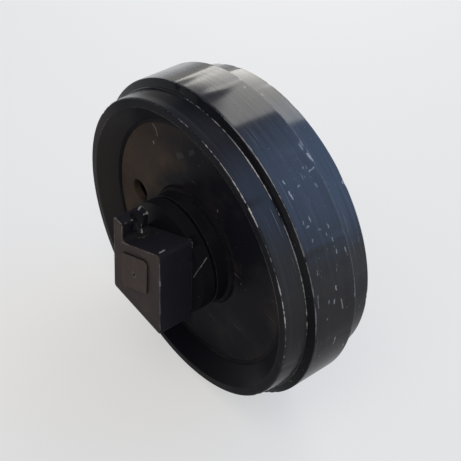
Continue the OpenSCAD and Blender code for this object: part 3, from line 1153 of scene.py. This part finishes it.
@dataclass
class Wheel(WheelSizes):
    """The turning part: rim, discs, hub and the welds that join them."""

    inner_slope: float = 0.25
    fit: float = 0.05
    rim_segments: int = 360
    hub_segments: int = 192
    disc_segments: int = 256
    hole_segments: int = 96
    ripple_segments: int = 6
    hub_ripples: int = 126
    hub_swell: float = 0.75
    rim_ripples: int = 188
    rim_swell: float = 0.4
    paint_lap: float = 1.2
    knocks: int = 46
    knock_width: Span = (5.0, 13.0)
    knock_depth: Span = (0.35, 1.1)
    seed: int = 20

    def struck_edges(self) -> list[Knock]:
        """Scatter small dents over the flange and tread edges.

        Returns:
            The dents.
        """
        draw = random.Random(self.seed)
        edges = ((self.flange_r, self.flange_y), (self.flange_r, -self.flange_y),
                 (self.tread_r, self.rim_y), (self.tread_r, -self.rim_y))
        dents = []
        for _ in range(self.knocks):
            radius, station = draw.choice(edges)
            dents.append(Knock(draw.uniform(0.0, FULL_TURN), radius, station,
                               draw.uniform(*self.knock_width), draw.uniform(*self.knock_depth)))
        return dents

    def rim(self, shop: PaintShop) -> None:
        """Build and finish the rim.

        Args:
            shop: Where the finishes come from.
        """
        taper = (self.bore_r - self.dish_r) * self.inner_slope
        half = [
            Corner(self.bore_r, self.lip_in_y - taper, 3.0), Corner(self.dish_r, self.lip_in_y, 1.5),
            Corner(self.dish_r, self.lip_y, 0.9), Corner(self.face_in_r, self.rim_y, 2.2),
            Corner(self.tread_r, self.rim_y, 2.2), Corner(self.foot_r, self.foot_y, 3.0),
            Corner(self.flange_r, self.flange_y, 2.4),
        ]
        dents = self.struck_edges()

        def shift(angle: float, radius: float, station: float) -> tuple[float, float]:
            """Press the dents in and leave the slight wave of a rolled flange.

            Args:
                angle: Angle of the point round the wheel.
                radius: Its radius.
                station: Its station.

            Returns:
                How far it moves out and along.
            """
            deep = sum(dent.press(angle, radius, station) for dent in dents)
            wave = 0.10 * math.sin(3.0 * angle + 0.6) + 0.06 * math.sin(7.0 * angle)
            out = wave if radius > self.face_in_r else 0.0
            return out - deep, -0.6 * deep * math.copysign(1.0, station)

        outline = rounded_outline(mirrored_outline(half))
        rim = turned_mesh("rim", outline, self.rim_segments, shift=shift)
        shop.coat(rim, "rim_paint", Body.WHEEL, "tread_rim")
        rim.data.materials.append(shop.materials[DISH.slot])
        for face in rim.data.polygons:
            inside = math.hypot(face.center.x, face.center.z) < (self.tread_r - self.paint_lap) * MM
            face.material_index = 1 if inside else 0

    def hub(self, shop: PaintShop) -> None:
        """Build and finish the hub.

        Args:
            shop: Where the finishes come from.
        """
        taper = (self.hub_r - self.waist_r) * self.inner_slope
        half = [
            Corner(self.chamber_r, self.chamber_y, 0.8), Corner(self.hub_bore_r, self.chamber_y, 0.6),
            Corner(self.hub_bore_r, self.seat_y, 0.6), Corner(self.seat_r, self.seat_y, 1.0),
            Corner(self.seat_r, self.hub_y, 1.0), Corner(self.hub_r, self.hub_y, 1.8),
            Corner(self.hub_r, self.shoulder_y, 2.0), Corner(self.waist_r, self.shoulder_y - taper, 4.0),
        ]
        hub = turned_mesh("wheel_hub", rounded_outline(mirrored_outline(half)), self.hub_segments)
        shop.coat(hub, "hub_paint", Body.WHEEL, "hub")

    def disc(self, side: Side, shop: PaintShop) -> None:
        """Build and finish one side disc with its core hole.

        Args:
            side: The side that it is on.
            shop: Where the finishes come from.
        """
        outer_r = self.dish_r - self.fit
        inner_r = self.hub_r + self.fit
        outline = rounded_outline([
            Corner(inner_r, self.disc_in_y, 0.3), Corner(outer_r, self.disc_in_y, 1.0),
            Corner(outer_r, self.disc_y - self.weld_groove, 0.3),
            Corner(outer_r - self.weld_groove, self.disc_y, 0.4), Corner(inner_r, self.disc_y, 0.3),
        ])
        plate = turned_mesh("plate", outline, self.disc_segments, side.sign)
        mesh = cut_away(plate, self.core_hole(side))
        disc = finished_piece(side.node("disc"), mesh, CREASE)
        shop.coat(disc, "disc_paint", Body.WHEEL, side.node("side_disc"))

    def core_hole(self, side: Side) -> bpy.types.Object:
        """Shape of a core hole with flared mouths.

        Args:
            side: The side of its disc.

        Returns:
            The shape to cut with.
        """
        over = 1.0
        flare, mouth_r = self.core_hole_flare, self.core_hole_r + self.core_hole_flare + over
        levels = [
            (mouth_r, self.disc_in_y - over), (self.core_hole_r, self.disc_in_y + flare),
            (self.core_hole_r, self.disc_y - flare), (mouth_r, self.disc_y + over),
        ]
        angle = math.radians(self.core_hole_angle)
        centre_x, centre_z = self.core_hole_reach * math.cos(angle), self.core_hole_reach * math.sin(angle)
        turns = [FULL_TURN * i / self.hole_segments for i in range(self.hole_segments)]
        work = bmesh.new()
        rings = []
        for radius, station in levels:
            rings.append([work.verts.new((
                (centre_x + radius * math.cos(turn)) * MM, side.sign * station * MM,
                (centre_z + radius * math.sin(turn)) * MM,
            )) for turn in turns])
        for low, high in zip(rings, rings[1:]):
            for i in range(self.hole_segments):
                after = (i + 1) % self.hole_segments
                work.faces.new((low[i], low[after], high[after], high[i]))
        work.faces.new(rings[0])
        work.faces.new(rings[-1])
        mesh = bpy.data.meshes.new("core_hole")
        work.to_mesh(mesh)
        work.free()
        return finished_piece("core_hole", mesh)

    def bead(self, name: str, corners: Sequence[Corner], ripples: int, swell: float,
             sign: int) -> bpy.types.Object:
        """Turn a weld bead whose face has the ripples of a hand-laid run.

        Args:
            name: Name of the piece.
            corners: Its cross-section.
            ripples: Ripples round the wheel.
            swell: Height of a ripple in millimetres.
            sign: Side that the bead is on.

        Returns:
            The bead.
        """
        heel = corners[0].spot
        crown = max((corner.spot - heel).length for corner in corners)

        def shift(angle: float, radius: float, station: float) -> tuple[float, float]:
            """Raise the crescents of the run, which lag behind at its toes.

            Args:
                angle: Angle of the point round the wheel.
                radius: Its radius.
                station: Its station.

            Returns:
                How far it moves out and along.
            """
            away = Vector((radius, station)) - heel
            lag = 1.3 * ((away.x - away.y) / crown) ** 2
            phase = ripples * angle + lag + 1.1 * math.sin(5.0 * angle) + 0.5 * math.sin(13.0 * angle)
            rise = swell * (0.5 + 0.5 * math.sin(phase)) ** 0.6 - swell
            share = min(away.length / crown, 1.0) ** 2
            along = away.normalized() if away.length > 0.01 else away
            return along.x * rise * share, along.y * rise * share

        outline = rounded_outline(corners, steps=3, support=0.6)
        return turned_mesh(name, outline, ripples * self.ripple_segments, sign, shift)

    def welds(self, side: Side, shop: PaintShop) -> None:
        """Build and finish the two weld beads of one side.

        Args:
            side: The side that they are on.
            shop: Where the finishes come from.
        """
        heel_r, heel_y = self.hub_r + self.fit, self.disc_y + self.fit
        crown = self.weld_leg / 2.0 + self.fillet_crown
        fillet = [
            Corner(heel_r, heel_y, 0.05), Corner(heel_r + self.weld_leg, heel_y, 0.3),
            Corner(heel_r + crown, heel_y + crown, 3.0), Corner(heel_r, heel_y + self.weld_leg, 0.3),
        ]
        piece = self.bead(side.node("hub_bead"), fillet, self.hub_ripples, self.hub_swell, side.sign)
        shop.coat(piece, "weld_paint", Body.WHEEL, side.node("hub_weld"))
        wall_r = self.dish_r - self.fit
        groove = [
            Corner(wall_r, self.disc_y - self.weld_groove + self.groove_root, 0.05),
            Corner(wall_r, self.disc_y + self.groove_cap, 0.3),
            Corner(wall_r - self.weld_groove * 0.55, self.disc_y + self.groove_crown, 2.0),
            Corner(wall_r - self.weld_groove + self.fit, heel_y, 0.2),
        ]
        piece = self.bead(side.node("rim_bead"), groove, self.rim_ripples, self.rim_swell, side.sign)
        shop.coat(piece, "weld_paint", Body.WHEEL, side.node("rim_weld"))

    def build(self, shop: PaintShop) -> None:
        """Build the whole wheel.

        Args:
            shop: Where the finishes come from.
        """
        self.rim(shop)
        self.hub(shop)
        for side in Side:
            self.disc(side, shop)
            self.welds(side, shop)
            shop.coat_node(side.node("bush"), "bush_bronze")
            shop.coat_node(side.node("rotating_seal_ring"), "seal_iron")
            shop.coat_node(side.node("rotating_toric"), "black_rubber")


@dataclass(frozen=True)
class Mouth:
    """Mouth of a drilled hole, in metres, with the reach that takes in its rim."""

    x: float
    station: float
    z: float
    reach: float

    def holds(self, spot: Vector) -> bool:
        """Whether a point of either bracket belongs to the mouth.

        Args:
            spot: The point.

        Returns:
            True if it lies within the reach.
        """
        middle = Vector((self.x, self.station, self.z))
        return (Vector((spot.x, abs(spot.y), spot.z)) - middle).length < self.reach


@dataclass(frozen=True)
class Rounding:
    """Rounding of an edge: its width in metres and its facets."""

    width: float
    steps: int


@dataclass
class Carriage:
    """The fixed part: shaft, brackets, lock pins and plugs. Sizes in metres, angles in degrees."""

    cast_edge: Rounding = Rounding(0.0025, 4)
    pad_edge: Rounding = Rounding(0.0008, 3)
    plug_edge: Rounding = Rounding(0.0005, 2)
    same_spot: float = 2e-6
    flat_angle: float = 0.4
    corner_angle: float = 32.0
    block_y: float = 0.1075
    pad_y: float = 0.1730
    shallow: float = 0.0050
    mouths: tuple[Mouth, ...] = (
        Mouth(-0.0252, 0.139, 0.0466, 0.013), Mouth(-0.061, 0.145, 0.063, 0.011),
        Mouth(-0.038, 0.145, 0.063, 0.011), Mouth(-0.061, 0.145, -0.052, 0.011),
        Mouth(0.0, 0.1735, 0.0, 0.009),
    )

    @staticmethod
    def edge_depth(edge: bmesh.types.BMEdge) -> float:
        """How far the narrower face beside an edge reaches from it.

        Args:
            edge: Edge between two faces.

        Returns:
            The distance in metres.
        """
        start, end = (vert.co for vert in edge.verts)
        along = (end - start).normalized()
        return min(max((v.co - start - along * (v.co - start).dot(along)).length for v in face.verts)
                   for face in edge.link_faces)

    def corners(self, work: bmesh.types.BMesh) -> list[bmesh.types.BMEdge]:
        """Find the outer corners of a piece.

        Args:
            work: Mesh of the piece.

        Returns:
            The edges where two faces meet in an outer corner.
        """
        sharp = math.radians(self.corner_angle)
        return [edge for edge in work.edges
                if edge.is_manifold and edge.is_convex and edge.calc_face_angle(0.0) > sharp]

    def cast_corners(self, work: bmesh.types.BMesh, low: bool) -> list[bmesh.types.BMEdge]:
        """Find the corners of a bracket that the casting rounds.

        Args:
            work: Mesh of the bracket.
            low: True picks the low edge of the pad, False the long corners of the block.

        Returns:
            The edges, without the rims of holes.
        """
        beyond = self.pad_y if low else self.block_y
        return [edge for edge in self.corners(work)
                if (self.edge_depth(edge) < self.shallow) == low
                and min(abs(vert.co.y) for vert in edge.verts) > beyond and not self.in_hole(edge)]

    @staticmethod
    def ease(work: bmesh.types.BMesh, edges: Sequence[bmesh.types.BMEdge], rounding: Rounding) -> None:
        """Round edges of a mesh.

        Args:
            work: The mesh.
            edges: Its edges to round.
            rounding: How they are rounded.
        """
        bmesh.ops.bevel(work, geom=edges, offset=rounding.width, offset_type="OFFSET",
                        segments=rounding.steps, profile=0.5, affect="EDGES", clamp_overlap=True)

    def eased_copy(self, node: str, name: str, cast: bool) -> bpy.types.Object:
        """Copy a CAD node and ease its corners as a casting or a turned plug has them.

        Args:
            node: The CAD node.
            name: Name of the new piece.
            cast: True rounds the long corners of a cast block.

        Returns:
            The new piece.
        """
        work = bmesh.new()
        work.from_mesh(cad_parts[node].data)
        bmesh.ops.remove_doubles(work, verts=work.verts, dist=self.same_spot)
        bmesh.ops.dissolve_limit(work, angle_limit=math.radians(self.flat_angle), verts=work.verts,
                                 edges=work.edges)
        if cast:
            self.ease(work, self.cast_corners(work, low=True), self.pad_edge)
            self.ease(work, self.cast_corners(work, low=False), self.cast_edge)
        else:
            self.ease(work, self.corners(work), self.plug_edge)
        mesh = bpy.data.meshes.new(name)
        work.to_mesh(mesh)
        work.free()
        piece = finished_piece(name, mesh, CREASE)
        flat = piece.modifiers.new("flat_faces", "WEIGHTED_NORMAL")
        flat.keep_sharp = True
        return piece

    def in_hole(self, edge: bmesh.types.BMEdge) -> bool:
        """Whether an edge is the rim of a drilled hole.

        Args:
            edge: Edge to look at.

        Returns:
            True if its middle lies in the mouth of a hole.
        """
        middle = (edge.verts[0].co + edge.verts[1].co) / 2.0
        return any(mouth.holds(middle) for mouth in self.mouths)

    def build(self, shop: PaintShop) -> None:
        """Build the brackets and what they hold.

        Args:
            shop: Where the finishes come from.
        """
        shop.coat_node("shaft", "ground_steel")
        for side in Side:
            block = self.eased_copy(side.node("bracket"), side.node("cast_bracket"), cast=True)
            shop.coat(block, "bracket_paint", Body.CARRIAGE, side.node("bracket"))
            for plug in ("pin_plug", "oil_plug"):
                piece = self.eased_copy(side.node(plug), side.node(f"{plug}_head"), cast=False)
                shop.coat(piece, "plug_steel", Body.CARRIAGE, side.node(plug))
            shop.coat_node(side.node("lock_pin"), "ground_steel")
            shop.coat_node(side.node("fixed_seal_ring"), "seal_iron")
            shop.coat_node(side.node("fixed_toric"), "black_rubber")
            shop.coat_node(side.node("shaft_oring"), "black_rubber")


def heading(azimuth: float, elevation: float) -> Vector:
    """Direction from the object, with azimuth counted from +X towards +Y.

    Args:
        azimuth: Angle round Z in degrees.
        elevation: Angle above the floor in degrees.

    Returns:
        The unit vector.
    """
    turn, rise = math.radians(azimuth), math.radians(elevation)
    return Vector((math.cos(rise) * math.cos(turn), math.cos(rise) * math.sin(turn), math.sin(rise)))


@dataclass(frozen=True)
class Softbox:
    """A large rectangular lamp that faces the object."""

    name: str
    azimuth: float
    elevation: float
    distance: float
    width: float
    height: float
    radiance: float
    colour: Colour
    roll: float = 0.0

    def place(self) -> None:
        """Put the lamp in the scene."""
        lamp = bpy.data.lights.new(self.name, "AREA")
        lamp.shape = "RECTANGLE"
        lamp.size, lamp.size_y = self.width, self.height
        lamp.color = self.colour
        lamp.energy = self.radiance * math.pi * self.width * self.height
        away = heading(self.azimuth, self.elevation)
        holder = bpy.data.objects.new(self.name, lamp)
        holder.location = away * self.distance
        tilt = Matrix.Rotation(math.radians(self.roll), 4, "Z")
        holder.rotation_euler = (away.to_track_quat("Z", "Y").to_matrix().to_4x4() @ tilt).to_euler()
        holder.visible_camera = False
        bpy.context.scene.collection.objects.link(holder)


@dataclass(frozen=True)
class Glow:
    """A soft bright region of the surroundings."""

    azimuth: float
    elevation: float
    reach: float
    radiance: float
    colour: Colour


@dataclass
class Studio:
    """Pale floor, soft light and the camera at the angle of the photograph."""

    floor_colour: Colour = (0.82, 0.79, 0.73)
    floor_grain: Colour = (0.74, 0.74, 0.75)
    paper_white: Colour = (0.90, 0.90, 0.89)
    paper_share: float = 0.60
    floor_size: float = 9.0
    dim: Colour = (0.23, 0.23, 0.28)
    camera_azimuth: float = -42.28
    camera_elevation: float = 44.89
    camera_roll: float = 5.8
    camera_distance: float = 1.657
    camera_target: Spot = (0.0097, 0.0137, 0.0019)
    lens: float = 77.73
    sensor: float = 36.0
    softboxes: tuple[Softbox, ...] = (
        Softbox("back_panel", 130.1, 30.7, 2.2, 2.2, 1.0, 2.9, (1.0, 0.98, 0.93), -61.0),
        Softbox("front_key", -60.0, 62.0, 2.2, 1.2, 1.2, 3.5, (1.0, 0.94, 0.85)),
    )
    glows: tuple[Glow, ...] = (
        Glow(30.0, 2.0, 42.0, 0.62, (0.90, 0.95, 1.0)),
        Glow(70.0, 30.0, 50.0, 2.1, (0.43, 0.62, 1.0)),
        Glow(151.0, 3.0, 26.0, 0.6, (1.0, 0.98, 0.94)),
    )

    def floor(self) -> None:
        """Lay the floor at the lowest point of the object."""
        half = self.floor_size / 2.0
        low = CAD_BOX[0].z
        mesh = bpy.data.meshes.new("floor")
        corners = [(-half, -half, low), (half, -half, low), (half, half, low), (-half, half, low)]
        mesh.from_pydata(corners, [], [(0, 1, 2, 3)])
        mesh.materials.append(self.floor_paper())
        floor = bpy.data.objects.new("floor", mesh)
        bpy.context.scene.collection.objects.link(floor)

    def floor_paper(self) -> bpy.types.Material:
        """Pale paper that takes the object's shadow and looks near white to the camera and in reflections.

        Returns:
            The finished paper.
        """
        graph = Graph.for_material("floor_paper")
        grain = graph.noise(graph.place() * 3.0, 3.0, 0.5)
        tone = graph.mix(grain * 0.08, self.floor_colour, self.floor_grain)
        matt = graph.node("ShaderNodeBsdfDiffuse", inputs={"Color": tone})
        white = graph.node("ShaderNodeEmission", inputs={"Color": self.paper_white, "Strength": 1.0})
        ray = graph.node("ShaderNodeLightPath", output="Is Camera Ray")
        seen = ray.most(ray.output("Is Glossy Ray")).most(ray.output("Is Transmission Ray"))
        paper = graph.node("ShaderNodeMixShader", inputs={0: seen * self.paper_share, 1: matt, 2: white})
        return graph.finish(paper)

    def surroundings(self) -> None:
        """Give the room its dim light and soft glows."""
        world = bpy.data.worlds.new("studio")
        world.use_nodes = True
        bpy.context.scene.world = world
        graph = Graph(world.node_tree)
        toward = graph.node("ShaderNodeTexCoord", output="Generated")
        light: Value = self.dim
        for glow in self.glows:
            facing = graph.node("ShaderNodeVectorMath", {"operation": "DOT_PRODUCT"},
                                {0: toward, 1: tuple(heading(glow.azimuth, glow.elevation))}, output="Value")
            share = graph.ramp(facing, math.cos(math.radians(glow.reach)), 1.0)
            lit = tuple(glow.radiance * part for part in glow.colour)
            light = graph.mix(share, light, lit)
        shader = graph.node("ShaderNodeBackground", inputs={"Color": light, "Strength": 1.0})
        end = graph.tree.nodes.new("ShaderNodeOutputWorld")
        graph.tree.links.new(shader.socket, end.inputs["Surface"])

    def camera(self) -> None:
        """Set the camera up."""
        back = heading(self.camera_azimuth, self.camera_elevation)
        right = heading(self.camera_azimuth + 90.0, 0.0)
        up = back.cross(right)
        roll = math.radians(self.camera_roll)
        turned_right = right * math.cos(roll) + up * math.sin(roll)
        turned_up = up * math.cos(roll) - right * math.sin(roll)
        lens = bpy.data.cameras.new("photo_camera")
        lens.lens = self.lens
        lens.sensor_width = self.sensor
        camera = bpy.data.objects.new("photo_camera", lens)
        axes = Matrix((turned_right, turned_up, back)).transposed().to_4x4()
        stand = Vector(self.camera_target) + back * self.camera_distance
        camera.matrix_world = Matrix.Translation(stand) @ axes
        bpy.context.scene.collection.objects.link(camera)
        bpy.context.scene.camera = camera

    def build(self) -> None:
        """Set up everything round the object."""
        self.floor()
        self.surroundings()
        for softbox in self.softboxes:
            softbox.place()
        self.camera()
        bpy.context.scene.view_settings.view_transform = "Standard"


def main() -> None:
    """Build the idler, its finishes and the studio."""
    logging.basicConfig(level=logging.INFO, format="%(name)s: %(message)s")
    shop = PaintShop()
    Studio().build()
    Wheel().build(shop)
    Carriage().build(shop)


if __name__ == "__main__":
    main()
